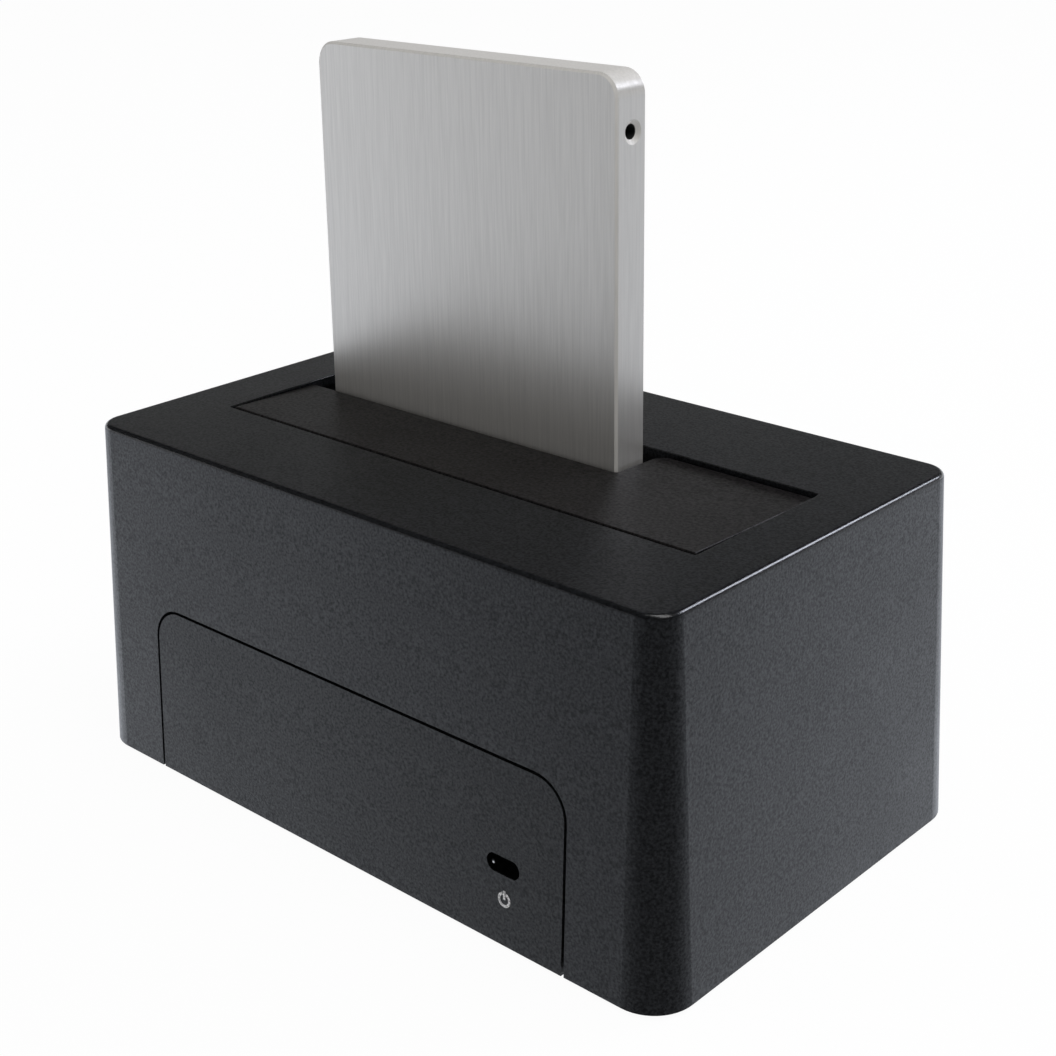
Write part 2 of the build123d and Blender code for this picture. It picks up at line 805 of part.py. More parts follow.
def make_sata_socket():
    shoulder = drive_end_height - socket_shoulder_gap
    base_x = (socket_left - socket_base_end, socket_right + socket_base_end)
    socket = block(base_x, around(tongue_y, socket_base_width), (board_top, shoulder))
    nose_top = drive_end_height + socket_nose_height
    socket += block(
        (socket_left + tongue_room, socket_right - tongue_room),
        around(tongue_y, socket_nose_width),
        (shoulder, nose_top),
    )
    return socket - tongues((drive_end_height - socket_shoulder_gap, nose_top + overrun), tongue_room)


def contact_places():
    """Middle of every contact of the connector, tongue by tongue."""
    places = []
    for (left, right), count in zip(tongue_spans(), (power_contacts, signal_contacts)):
        middle = (left + right) / 2
        places += [middle + (k - (count - 1) / 2) * contact_pitch for k in range(count)]
    return places


def make_socket_contacts():
    slot_face = tongue_y + tongue_thickness / 2 + tongue_room
    contact_z = (drive_end_height - socket_shoulder_gap, drive_end_height + socket_nose_height)
    strips = [
        block(around(x, contact_width), (slot_face - contact_thickness, slot_face), contact_z)
        for x in contact_places()
    ]
    return Compound(children=strips)


def make_drive_plug():
    tip = drive_end_height + tongue_recess
    root = tip + tongue_depth + tongue_room
    plug = tongues((tip, root), 0)
    inner = (drive_front + drive_skin, drive_back - drive_skin)
    arm_x = (socket_left - plug_arm, socket_right + plug_arm)
    plug += block(arm_x, inner, (root, root + plug_block_height))
    for x in (arm_x[0], arm_x[1] - plug_arm + tongue_room):
        plug += block((x, x + plug_arm - tongue_room), inner, (tip, root))
    return plug


def make_plug_contacts():
    face = tongue_y + tongue_thickness / 2
    tip = drive_end_height + tongue_recess
    strips = [
        block(
            around(x, contact_width),
            (face, face + contact_thickness / 2),
            (tip + tongue_recess, tip + tongue_depth),
        )
        for x in contact_places()
    ]
    return Compound(children=strips)


def drive_block(inset, y_span):
    """The drive's outline seen from the front, drawn in by an inset, between two depths."""
    x = (drive_left + drive_right) / 2
    z = (drive_end_height + drive_top) / 2
    radius = max(drive_corner_radius - inset, drive_inner_corner)
    return rounded_along_y(x, z, drive_width - 2 * inset, drive_length - 2 * inset, radius, y_span)


def cover_screw_places():
    x_places = (drive_left + cover_screw_inset, drive_right - cover_screw_inset)
    z_places = (drive_end_height + cover_screw_inset, drive_top - cover_screw_inset)
    return [(x, z) for x in x_places for z in z_places]


def drive_post_places():
    middle = (drive_left + drive_right) / 2
    half = drive_board_width / 2 - drive_post_inset
    low = drive_end_height + drive_board_lift + drive_post_inset
    high = drive_end_height + drive_board_lift + drive_board_length - drive_post_inset
    low += plug_block_height
    return [(middle + s * half, z) for s in (-1, 1) for z in (low, high)]


cover_inner = drive_back - drive_skin
drive_board_front = tongue_y + tongue_thickness / 2
drive_board_back = drive_board_front + drive_board_thickness


def make_drive_case():
    case = drive_block(0, (drive_front, drive_back))
    front_edges = case.edges().group_by(Axis.Y)[0]
    case = chamfer(front_edges, drive_edge_chamfer)
    hollow = drive_block(drive_side_wall, (drive_front + drive_skin, drive_back + overrun))
    case -= hollow
    case -= drive_block(drive_rim, (cover_inner, drive_back + overrun))
    for x, z in cover_screw_places():
        boss = bar_along_y(x, z, (drive_front + drive_skin, cover_inner), cover_boss_radius)
        case += boss & drive_block(drive_rim, (drive_front, drive_back))
        thread = (cover_inner - cover_screw_length, drive_back)
        case -= bar_along_y(x, z, thread, drive_screw_radius + thread_gap)
    for x, z in drive_post_places():
        case += bar_along_y(x, z, (drive_front + drive_skin, drive_board_front), drive_post_radius)
        thread = (drive_board_back - drive_screw_length, drive_board_front + overrun)
        case -= bar_along_y(x, z, thread, drive_screw_radius + thread_gap)
    hole_y = drive_back - side_hole_lift
    for lift in side_hole_places:
        z = drive_end_height + lift
        for edge, side in ((drive_left, 1), (drive_right, -1)):
            boss_x = sorted((edge + side * drive_rim, edge + side * side_boss_depth))
            case += block(boss_x, (drive_front + drive_skin, cover_inner), around(z, side_boss_width))
            bore_x = sorted((edge - side * overrun, edge + side * side_hole_depth))
            case -= bar_along_x(hole_y, z, bore_x, side_hole_radius)
            sink = Cone(
                side_hole_sink_radius, side_hole_radius, side_hole_sink_depth, rotation=(0, 90 * side, 0)
            )
            case -= Pos(edge + side * side_hole_sink_depth / 2, hole_y, z) * sink
    mouth_x_span = (
        socket_left - plug_arm - drive_cover_gap,
        socket_right + plug_arm + drive_cover_gap,
    )
    case -= block(
        mouth_x_span,
        (drive_front + drive_skin, drive_back + overrun),
        (drive_end_height - overrun, drive_end_height + drive_side_wall + overrun),
    )
    return case


def make_drive_cover():
    cover = drive_block(drive_rim + drive_cover_gap, (cover_inner, drive_back))
    for x, z in cover_screw_places():
        through = (cover_inner - overrun, drive_back + overrun)
        cover -= bar_along_y(x, z, through, drive_screw_radius + drive_cover_gap)
        sink = (drive_back - cover_sink_depth, drive_back + overrun)
        cover -= bar_along_y(x, z, sink, drive_screw_head_radius + drive_cover_gap)
    return cover


def make_drive_board():
    middle = (drive_left + drive_right) / 2
    low = drive_end_height + drive_board_lift
    x_span = around(middle, drive_board_width)
    board = block(x_span, (drive_board_front, drive_board_back), (low, low + drive_board_length))
    plug_top = drive_end_height + tongue_recess + tongue_depth + tongue_room + plug_block_height
    plug_x = (socket_left - plug_arm - drive_cover_gap, socket_right + plug_arm + drive_cover_gap)
    y_cut = (drive_board_front - overrun, drive_board_back + overrun)
    board -= block(plug_x, y_cut, (low - overrun, plug_top))
    for x, z in drive_post_places():
        board -= bar_along_y(x, z, y_cut, drive_screw_radius + drive_cover_gap)
    return board


def make_drive_chips():
    middle = (drive_left + drive_right) / 2
    y_span = (drive_board_front - drive_chip_height, drive_board_front)
    low = drive_end_height
    chips = [
        block(
            around(middle, drive_controller),
            y_span,
            around(low + drive_controller_lift, drive_controller),
        )
    ]
    for side in (-1, 1):
        chips.append(
            block(
                around(middle + side * drive_memory_pitch / 2, drive_memory_width),
                y_span,
                around(low + drive_memory_lift, drive_memory_length),
            )
        )
    return Compound(children=chips)


def screws_from_back(places, sizes, bearing):
    """Screws put in from the drive's underside, their heads bearing at one depth."""
    return Compound(children=[Pos(x, bearing, z) * Rot(90, 0, 0) * screw(sizes) for x, z in places])


def screws_from_below(places, sizes, bearing):
    """Screws put in from below, their heads bearing at one height."""
    return Compound(children=[Pos(x, y, bearing) * screw(sizes) for x, y in places])


def chip(place, size):
    """A component glued and soldered to the main board's underside."""
    x_span = around(jack_x + place[0], size[0])
    body = block(x_span, around(place[1], size[1]), (board_bottom - size[2], board_bottom))
    return chamfer(body.edges().group_by(Axis.Z)[0], chip_edge)


def make_capacitors():
    cans = []
    for offset, y in capacitor_places:
        x = jack_x + offset
        foot_z = (board_bottom - capacitor_foot_height, board_bottom)
        can = block(around(x, capacitor_foot), around(y, capacitor_foot), foot_z)
        can += post((x, y), (board_bottom - capacitor_height, foot_z[0]), capacitor_radius)
        cans.append(can)
    return Compound(children=cans)


def usb_cavity():
    """The type B opening: a square mouth with the narrower hump beyond it."""
    y_span = (port_back - usb_cavity_depth, port_back + overrun)
    mouth_top = board_bottom - usb_mouth_lift
    mouth_bottom = mouth_top - usb_mouth_height
    cavity = block(around(usb_x, usb_mouth_width), y_span, (mouth_bottom, mouth_top))
    hump = (mouth_bottom - usb_hump_height, mouth_bottom + overrun)
    return cavity + block(around(usb_x, usb_hump_width), y_span, hump)


def make_usb_shell():
    z_span = (board_bottom - usb_height, board_bottom)
    shell = block(around(usb_x, usb_width), (port_back - usb_depth, port_back), z_span)
    return shell - usb_cavity()


def make_usb_tongues():
    root = port_back - usb_cavity_depth
    middle_z = board_bottom - usb_mouth_lift - usb_mouth_height / 2
    main_y = (root, root + usb_tongue_depth)
    main = block(around(usb_x, usb_tongue_width), main_y, around(middle_z, usb_tongue_height))
    upper_z = board_bottom - usb_mouth_lift - usb_mouth_height - usb_hump_height + usb_upper_lift
    upper_y = (root, root + usb_upper_depth)
    upper = block(around(usb_x, usb_upper_width), upper_y, around(upper_z, usb_upper_height))
    return Compound(children=[main, upper])


def make_jack_body():
    z_span = (board_bottom - jack_height, board_bottom)
    body = block(around(jack_x, jack_width), (jack_body_back - jack_depth, jack_body_back), z_span)
    nose_back = port_back
    body += bar_along_y(jack_x, jack_z, (jack_body_back, nose_back), jack_nose_radius)
    bore = (nose_back - jack_bore_depth, nose_back + overrun)
    body -= bar_along_y(jack_x, jack_z, bore, jack_bore_radius)
    root = nose_back - jack_bore_depth - jack_pin_root
    body -= bar_along_y(jack_x, jack_z, (root, nose_back), jack_pin_neck_radius + thread_gap)
    return body - jack_spring_box(thread_gap)


def jack_spring_box(room):
    """The flat spring in the side of the jack's bore, grown by a room for its slot."""
    x_from = jack_x + jack_bore_radius - jack_spring_reach
    x_to = jack_x + jack_bore_radius + jack_spring_thickness
    y_to = port_back - jack_spring_inset
    y_span = (y_to - jack_spring_length - room, y_to + room)
    return block((x_from - room, x_to + room), y_span, around(jack_z, jack_spring_width + 2 * room))


def make_jack_pin():
    bottom = port_back - jack_bore_depth
    shoulder = bottom + jack_pin_neck_rise
    pin = bar_along_y(jack_x, jack_z, (shoulder, port_back - jack_pin_setback), jack_pin_radius)
    pin = fillet(pin.edges().group_by(Axis.Y)[-1], jack_pin_radius / 3)
    neck = (bottom - jack_pin_root, shoulder)
    return pin + bar_along_y(jack_x, jack_z, neck, jack_pin_neck_radius)


def light_pipe_place():
    return (button_x + light_pipe_offset, button_z)


def make_button_cap():
    reach = (-base_width / 2 - overrun, flange_back - button_flange_thickness / 2)
    face = rounded_along_y(
        button_x,
        button_z,
        button_hole_length - 2 * button_gap,
        button_hole_height - 2 * button_gap,
        button_hole_height / 2 - 2 * button_gap,
        reach,
    )
    cap = face & casing_block(button_recess, casing_height)
    flange = rounded_along_y(
        button_x,
        button_z,
        button_flange_length,
        button_flange_height,
        button_flange_thickness,
        (-base_width / 2, flange_back),
    )
    cap += flange & casing_block(side_wall, casing_height)
    switch_x = button_x + switch_offset
    cap += bar_along_y(
        switch_x, button_z, (flange_back - button_flange_thickness / 2, plunger_tip), button_stem_radius
    )
    x, z = light_pipe_place()
    bore = (-base_width / 2 - overrun, flange_back + overrun)
    return cap - bar_along_y(x, z, bore, light_pipe_radius + thread_gap)


def make_light_pipe():
    x, z = light_pipe_place()
    front = button_recess - face_y(z)
    return bar_along_y(x, z, (front, front + light_pipe_length), light_pipe_radius)


def make_switch_plunger():
    x = button_x + switch_offset
    y_span = (plunger_tip, switch_front + switch_plunger_root)
    return bar_along_y(x, button_z, y_span, switch_plunger_radius)


def make_switch_body():
    x = button_x + switch_offset
    body = block(
        around(x, switch_size), (switch_front, button_board_front), around(button_z, switch_size)
    )
    well_depth = switch_plunger_root + button_travel + switch_plunger_play
    well = (switch_front - overrun, switch_front + well_depth)
    return body - bar_along_y(x, button_z, well, switch_plunger_radius + switch_plunger_play)


def make_button_board():
    z_span = (button_board_bottom, board_bottom)
    y_span = (button_board_front, button_board_back)
    board = block(around(button_x, button_board_width), y_span, z_span)
    for x, z in button_board_screw_places():
        hole = (button_board_front - overrun, button_board_back + overrun)
        board -= bar_along_y(x, z, hole, button_screw[0] + board_hole_play)
    return board


def make_status_led():
    x, z = light_pipe_place()
    y_span = (button_board_front - led_depth, button_board_front)
    return block(around(x, led_length / 2), y_span, around(z, led_length))


def make_board_header():
    y_span = (button_board_back, button_board_back + header_size)
    z_span = (board_bottom - header_size, board_bottom)
    return block(around(button_x, header_length), y_span, z_span)


def make_button_screws():
    places = button_board_screw_places()
    turned = [Pos(x, button_board_back, z) * Rot(90, 0, 0) * screw(button_screw) for x, z in places]
    return Compound(children=turned)


pieces = {
    "top_shell": make_top_shell(),
    "front_panel": make_front_panel(),
    "rear_panel": make_rear_panel(),
    "base_plate": make_base_plate(),
    "bay_liner": make_bay_liner(),
    "flap": make_flap(),
    "flap_pin": make_flap_pin(),
    "flap_spring_left": make_flap_spring(-1),
    "flap_spring_right": make_flap_spring(1),
    "main_board": make_main_board(),
    "sata_socket": make_sata_socket(),
    "sata_contacts": make_socket_contacts(),
    "bridge_chip": chip(bridge_chip_place, bridge_chip_size),
    "flash_chip": chip(flash_chip_place, flash_chip_size),
    "crystal": chip(crystal_place, crystal_size),
    "voltage_regulator": chip(regulator_place, regulator_size),
    "power_inductor": chip(inductor_place, inductor_size),
    "capacitors": make_capacitors(),
    "usb_shell": make_usb_shell(),
    "usb_tongues": make_usb_tongues(),
    "dc_jack_body": make_jack_body(),
    "dc_jack_pin": make_jack_pin(),
    "dc_jack_spring": jack_spring_box(0),
    "power_button": make_button_cap(),
    "light_pipe": make_light_pipe(),
    "switch_plunger": make_switch_plunger(),
    "switch_body": make_switch_body(),
    "button_board": make_button_board(),
    "status_led": make_status_led(),
    "board_header": make_board_header(),
    "button_board_screws": make_button_screws(),
    "board_screws": screws_from_below(board_screw_places(), board_screw, board_bottom),
    "liner_screws": screws_from_below(tab_places(), tab_screw, tab_top - tab_thickness),
    "case_screws": screws_from_below(
        four_places(case_post_x, case_post_y), case_screw, case_post_bottom - plate_thickness
    ),
    "drive_case": make_drive_case(),
    "drive_cover": make_drive_cover(),
    "drive_board": make_drive_board(),
    "drive_chips": make_drive_chips(),
    "drive_plug": make_drive_plug(),
    "drive_plug_contacts": make_plug_contacts(),
    "drive_board_screws": screws_from_back(drive_post_places(), drive_board_screw, drive_board_back),
    "drive_cover_screws": screws_from_back(
        cover_screw_places(), cover_screw, drive_back - cover_sink_depth
    ),
}
for number, place in enumerate(four_places(foot_x, foot_y), start=1):
    pieces[f"foot_{number}"] = make_foot(place)

os.makedirs("parts", exist_ok=True)
for name, piece in pieces.items():
    export_step(piece, f"parts/{name}.step")
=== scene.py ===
import math

import bpy
from mathutils import Matrix, Vector


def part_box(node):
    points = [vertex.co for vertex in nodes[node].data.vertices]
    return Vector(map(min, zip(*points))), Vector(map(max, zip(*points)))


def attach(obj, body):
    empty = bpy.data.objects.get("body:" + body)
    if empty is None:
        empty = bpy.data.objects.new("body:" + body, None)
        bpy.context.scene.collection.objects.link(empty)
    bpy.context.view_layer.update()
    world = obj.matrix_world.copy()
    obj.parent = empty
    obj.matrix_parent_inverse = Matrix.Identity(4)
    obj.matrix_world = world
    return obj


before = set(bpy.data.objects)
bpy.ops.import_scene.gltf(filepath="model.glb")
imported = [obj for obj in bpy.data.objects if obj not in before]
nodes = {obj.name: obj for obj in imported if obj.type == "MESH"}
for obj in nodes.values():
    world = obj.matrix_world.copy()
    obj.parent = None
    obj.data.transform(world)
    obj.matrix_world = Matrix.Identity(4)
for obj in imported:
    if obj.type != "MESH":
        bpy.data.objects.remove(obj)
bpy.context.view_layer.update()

for shown in bpy.context.selected_objects:
    shown.select_set(False)

# Camera. It stands where the photograph was taken from: to the dock's right and a little above
# it, with a long lens, and the frame slid down so that the tall drive and the foot both fit.
frame_pixels = 1056
focal_pixels = 1839.52
axis_pixel_x, axis_pixel_y = 527.94, 421.86
sensor_mm = 36.0
camera_place = Vector((0.205421, -0.218217, 0.170679))
camera_right = Vector((0.740497, 0.671910, -0.014165))
camera_down = Vector((0.208331, -0.249535, -0.945690))
camera_forward = Vector((-0.638953, 0.697330, -0.324760))

bpy.ops.object.camera_add()
camera = bpy.context.object
camera.name = "camera"
turn = Matrix((camera_right, -camera_down, -camera_forward)).transposed()
camera.matrix_world = Matrix.Translation(camera_place) @ turn.to_4x4()
camera.data.sensor_width = sensor_mm
camera.data.lens = focal_pixels / frame_pixels * sensor_mm
camera.data.shift_x = (frame_pixels / 2 - axis_pixel_x) / frame_pixels
camera.data.shift_y = (axis_pixel_y - frame_pixels / 2) / frame_pixels
camera.data.clip_start = 0.01
camera.data.clip_end = 20.0
bpy.context.scene.camera = camera


# Studio. A white sweep, a long soft lamp high over the object's right, and a smaller one behind
# it that draws the thin light line along the top edges. What the satin plastic and the brushed
# metal show is mostly the sweep, brightest behind the object on the left and the right.
def colour(hex_code):
    """A colour written as sRGB hex, turned to the linear values that the shaders take."""
    parts = [int(hex_code[i:i + 2], 16) / 255 for i in (1, 3, 5)]
    linear = [p / 12.92 if p <= 0.04045 else ((p + 0.055) / 1.055) ** 2.4 for p in parts]
    return (*linear, 1.0)


def add_node(tree, kind, settings=None, **links):
    """Adds one shader node with its settings and links.

    A socket goes by its label or by its place, which is "1" in the settings and i1 in the links.
    """
    node = tree.nodes.new(kind)
    for name, value in (settings or {}).items():
        if hasattr(node, name):
            setattr(node, name, value)
        else:
            node.inputs[int(name) if name.isdigit() else name].default_value = value
    for name, source in links.items():
        by_place = name[0] == "i" and name[1:].isdigit()
        socket = node.inputs[int(name[1:]) if by_place else name.replace("_", " ")]
        tree.links.new(source, socket)
    return node


world = bpy.data.worlds.new("studio")
bpy.context.scene.world = world
world.use_nodes = True
sky = world.node_tree
sky.nodes.clear()
way = add_node(sky, "ShaderNodeTexCoord")
height = add_node(sky, "ShaderNodeSeparateXYZ", Vector=way.outputs["Generated"])
# The sweep is mirrored bright below the horizon and a little above it; the room over it is dark.
# A height is the upward share of a direction, from -1 straight down to 1 straight up.
sweep_top, room_foot, room_level = 0.13, 0.25, 0.02
sweep_edge = add_node(
    sky, "ShaderNodeMapRange",
    {
        "From Min": sweep_top, "From Max": room_foot, "To Min": 1.0, "To Max": room_level,
        "interpolation_type": "SMOOTHSTEP",
    },
    Value=height.outputs["Z"],
)
# Round about, the sweep is brightest behind the object on the left and the right, dimmer straight
# behind it and beside it, and dark in front, which draws the dark band down the rounded corner.
# Each level goes with how far a direction points to the camera's side, from -1 to 1.
camera_side = Vector((0.731, -0.682, 0))
facing = add_node(
    sky, "ShaderNodeVectorMath", {"operation": "DOT_PRODUCT", "1": camera_side},
    i0=way.outputs["Generated"],
)
sector = add_node(
    sky, "ShaderNodeMapRange", {"From Min": -1.0, "From Max": 1.0},
    Value=facing.outputs["Value"],
)
round_about = add_node(sky, "ShaderNodeValToRGB", Fac=sector.outputs["Result"])
sweep_levels = {
    -0.80: 1.4, -0.50: 2.2, -0.28: 2.6, -0.13: 0.68, 0.06: 0.60, 0.14: 0.60, 0.52: 0.24,
}
ramp = round_about.color_ramp
ramp.elements.remove(ramp.elements[0])
for camera_share, glow_level in sweep_levels.items():
    stop = ramp.elements.new((camera_share + 1) / 2)
    stop.color = (glow_level, glow_level, glow_level, 1)
ramp.elements.remove(ramp.elements[-1])
# Near the object's foot it is lit more than far out.
foot_height, foot_level = -0.60, 1.22
far_height, far_level = -0.20, 0.90
foot_glow = add_node(
    sky, "ShaderNodeMapRange",
    {
        "From Min": foot_height, "From Max": far_height,
        "To Min": foot_level, "To Max": far_level,
    },
    Value=height.outputs["Z"],
)
sweep_band = add_node(
    sky, "ShaderNodeMath", {"operation": "MULTIPLY"},
    i0=sweep_edge.outputs["Result"], i1=round_about.outputs["Color"],
)
sweep = add_node(
    sky, "ShaderNodeMath", {"operation": "MULTIPLY"},
    i0=sweep_band.outputs[0], i1=foot_glow.outputs["Result"],
)
# Reflections see that sweep, matte surfaces get an even fill, and the camera sees plain white.
rays = add_node(sky, "ShaderNodeLightPath")
glossy = add_node(
    sky, "ShaderNodeMath", {"operation": "MULTIPLY"},
    i0=rays.outputs["Is Glossy Ray"], i1=sweep.outputs[0],
)
soft_fill = 0.45
matte_fill = add_node(
    sky, "ShaderNodeMath", {"operation": "MULTIPLY", "1": soft_fill},
    i0=rays.outputs["Is Diffuse Ray"],
)
straight = add_node(
    sky, "ShaderNodeMath", {"operation": "MAXIMUM"},
    i0=rays.outputs["Is Camera Ray"], i1=rays.outputs["Is Transmission Ray"],
)
reflected = add_node(
    sky, "ShaderNodeMath", {"operation": "MAXIMUM"},
    i0=glossy.outputs[0], i1=matte_fill.outputs[0],
)
level = add_node(
    sky, "ShaderNodeMath", {"operation": "MAXIMUM"},
    i0=straight.outputs[0], i1=reflected.outputs[0],
)
# Below the horizon the reflections are a trace bluish.
bluish_up_to, neutral_from = -0.05, 0.10
low_down = add_node(
    sky, "ShaderNodeMapRange",
    {"From Min": bluish_up_to, "From Max": neutral_from, "To Min": 1.0, "To Max": 0.0},
    Value=height.outputs["Z"],
)
bluish_share = add_node(
    sky, "ShaderNodeMath", {"operation": "MULTIPLY"},
    i0=low_down.outputs["Result"], i1=rays.outputs["Is Glossy Ray"],
)
sweep_tint = add_node(
    sky, "ShaderNodeMix", {"data_type": "RGBA", "6": (1, 1, 1, 1), "7": colour("#f1f6ff")},
    Factor=bluish_share.outputs[0],
)
light_in = add_node(
    sky, "ShaderNodeBackground", Color=sweep_tint.outputs[2], Strength=level.outputs[0]
)
add_node(sky, "ShaderNodeOutputWorld", Surface=light_in.outputs[0])

floor_size = 6.0
bpy.ops.mesh.primitive_plane_add(size=floor_size, location=(0, 0, 0))
floor = bpy.context.object
floor.name = "floor"
floor.visible_glossy = False  # the world above draws the sweep in reflections
paper = bpy.data.materials.new("white_paper_sweep")
paper.use_nodes = True
tree = paper.node_tree
tree.nodes.clear()
matte = add_node(tree, "ShaderNodeBsdfDiffuse", {"Color": colour("#f4f4f4")})
white = add_node(tree, "ShaderNodeEmission", {"Color": (1, 1, 1, 1), "Strength": 1.0})
paper_rays = add_node(tree, "ShaderNodeLightPath")
paper_glow_share = 0.96
seen = add_node(
    tree, "ShaderNodeMath", {"operation": "MULTIPLY", "1": paper_glow_share},
    i0=paper_rays.outputs["Is Camera Ray"],
)
mixed = add_node(
    tree, "ShaderNodeMixShader", Fac=seen.outputs[0], i1=matte.outputs[0], i2=white.outputs[0]
)
add_node(tree, "ShaderNodeOutputMaterial", Surface=mixed.outputs[0])
floor.data.materials.append(paper)

# Each lamp's place, width and height in metres, its power and its colour.
lamps = {
    "overhead_soft_lamp": ((0.40, -0.05, 1.10), 0.50, 1.10, 5.5, "#ffffff"),
    "back_edge_lamp": ((0.47, 0.97, 0.80), 0.50, 0.30, 6.0, "#eef2ff"),
}
lamp_aim = Vector((0, 0, 0.05))
for name, (place, width, tall, watts, lamp_colour) in lamps.items():
    bpy.ops.object.light_add(type="AREA", location=place)
    lamp = bpy.context.object
    lamp.name = name
    lamp.data.shape = "RECTANGLE"
    lamp.data.size = width
    lamp.data.size_y = tall
    lamp.data.energy = watts
    lamp.data.color = colour(lamp_colour)[:3]
    lamp.rotation_euler = (lamp_aim - Vector(place)).to_track_quat("-Z", "Y").to_euler()

bpy.context.scene.view_settings.view_transform = "Standard"


# Casing, arched panels, base and flap. Injection moulded ABS, dyed black all through. The mould is
# spark eroded, so the skin is an even fine grain that turns every reflection into a soft sheen.
def spark_eroded(name, hex_code, roughness, grain_mm, grain_depth_mm, ior=1.46, shine=0.29):
    """Moulded plastic with a fine pebbled skin, with painted shade and light in its grain."""
    material = bpy.data.materials.new(name)
    material.use_nodes = True
    tree = material.node_tree
    skin = tree.nodes["Principled BSDF"]
    skin.inputs["IOR"].default_value = ior
    place = add_node(tree, "ShaderNodeTexCoord").outputs["Object"]
    # The real grain is about a tenth of a millimetre, too fine for the picture, so it is drawn
    # a few times as coarse.
    relief_strength = 0.75
    grain = add_node(
        tree, "ShaderNodeTexNoise", {"Scale": 1000 / grain_mm, "Detail": 3.0, "Roughness": 0.6},
        Vector=place,
    )
    relief = add_node(
        tree, "ShaderNodeBump",
        {"Strength": relief_strength, "Distance": grain_depth_mm / 1000},
        Height=grain.outputs["Fac"],
    )
    # Slight differences in how the melt filled the mould, every two centimetres or so.
    flow_per_metre = 45.0
    flow_low, flow_high = 0.3, 0.7
    sheen_spread = 0.03
    flow = add_node(
        tree, "ShaderNodeTexNoise", {"Scale": flow_per_metre, "Detail": 2.0}, Vector=place
    )
    sheen = add_node(
        tree, "ShaderNodeMapRange",
        {
            "From Min": flow_low, "From Max": flow_high,
            "To Min": roughness - sheen_spread, "To Max": roughness + sheen_spread,
        },
        Value=flow.outputs["Fac"],
    )
    # Painted shade and painted light: the colour is darker in the pits between the pebbles
    # and lighter on their tops, and the pits also reflect less than the tops.
    pebble_foot, pebble_top = 0.35, 0.65
    pit_shade_tone, top_light_tone = 0.5, 2.2
    pit_shine, top_shine = 0.6, 1.4
    pebble = add_node(
        tree, "ShaderNodeMapRange", {"From Min": pebble_foot, "From Max": pebble_top},
        Value=grain.outputs["Fac"],
    )
    dye = colour(hex_code)
    pit = tuple(channel * pit_shade_tone for channel in dye[:3]) + (1.0,)
    top = tuple(min(1.0, channel * top_light_tone) for channel in dye[:3]) + (1.0,)
    tone = add_node(
        tree, "ShaderNodeMix", {"data_type": "RGBA", "6": pit, "7": top},
        Factor=pebble.outputs["Result"],
    )
    glint = add_node(
        tree, "ShaderNodeMapRange", {"To Min": shine * pit_shine, "To Max": shine * top_shine},
        Value=pebble.outputs["Result"],
    )
    tree.links.new(glint.outputs["Result"], skin.inputs["Specular IOR Level"])
    tree.links.new(tone.outputs[2], skin.inputs["Base Color"])
    tree.links.new(sheen.outputs["Result"], skin.inputs["Roughness"])
    tree.links.new(relief.outputs["Normal"], skin.inputs["Normal"])
    return material


def dress(material, *names):
    """Puts one material on CAD pieces."""
    for name in names:
        nodes[name].data.materials.clear()
        nodes[name].data.materials.append(material)


casing_abs = spark_eroded(
    "satin_black_abs_casing", "#101113", roughness=0.40, grain_mm=0.46, grain_depth_mm=0.032
)
panel_abs = spark_eroded(
    "satin_black_abs_panels", "#111213", roughness=0.42, grain_mm=0.46, grain_depth_mm=0.032,
    shine=0.25,
)
flap_abs = spark_eroded(
    "satin_black_abs_flap", "#131111", roughness=0.44, grain_mm=0.60, grain_depth_mm=0.045
)
liner_abs = spark_eroded(
    "matte_black_abs_liner", "#101011", roughness=0.60, grain_mm=0.60, grain_depth_mm=0.040
)
dress(casing_abs, "top_shell", "base_plate")
# The rounds along the top edges are rubbed smoother than the faces, so they draw thin bright
# lines. They are found by how far the skin there faces up.
round_upward, round_spread = 0.65, 0.30
rubbed_roughness, rubbed_shine = 0.24, 0.70
shell_tree = casing_abs.node_tree
shell_skin = shell_tree.nodes["Principled BSDF"]
shell_normal = add_node(shell_tree, "ShaderNodeTexCoord").outputs["Normal"]
upward = add_node(shell_tree, "ShaderNodeSeparateXYZ", Vector=shell_normal)
on_round = add_node(
    shell_tree, "ShaderNodeMath", {"operation": "COMPARE", "1": round_upward, "2": round_spread},
    i0=upward.outputs["Z"],
)
rubbed = add_node(
    shell_tree, "ShaderNodeMix", {"data_type": "FLOAT", "3": rubbed_roughness},
    Factor=on_round.outputs[0], i2=shell_skin.inputs["Roughness"].links[0].from_socket,
)
shell_tree.links.new(rubbed.outputs[0], shell_skin.inputs["Roughness"])
brighter = add_node(
    shell_tree, "ShaderNodeMix", {"data_type": "FLOAT", "3": rubbed_shine},
    Factor=on_round.outputs[0], i2=shell_skin.inputs["Specular IOR Level"].links[0].from_socket,
)
shell_tree.links.new(brighter.outputs[0], shell_skin.inputs["Specular IOR Level"])
dress(panel_abs, "front_panel", "rear_panel")
dress(flap_abs, "flap")
dress(liner_abs, "bay_liner")


# Feet. Die-cut discs of black silicone rubber with a peel-off back, pressed into the base's
# recesses: dead matte, with a faint bloom of dust on them.
silicone = spark_eroded(
    "black_silicone_rubber", "#1c1c1d", roughness=0.85, grain_mm=0.7, grain_depth_mm=0.05, ior=1.42
)
dress(silicone, "foot_1", "foot_2", "foot_3", "foot_4")


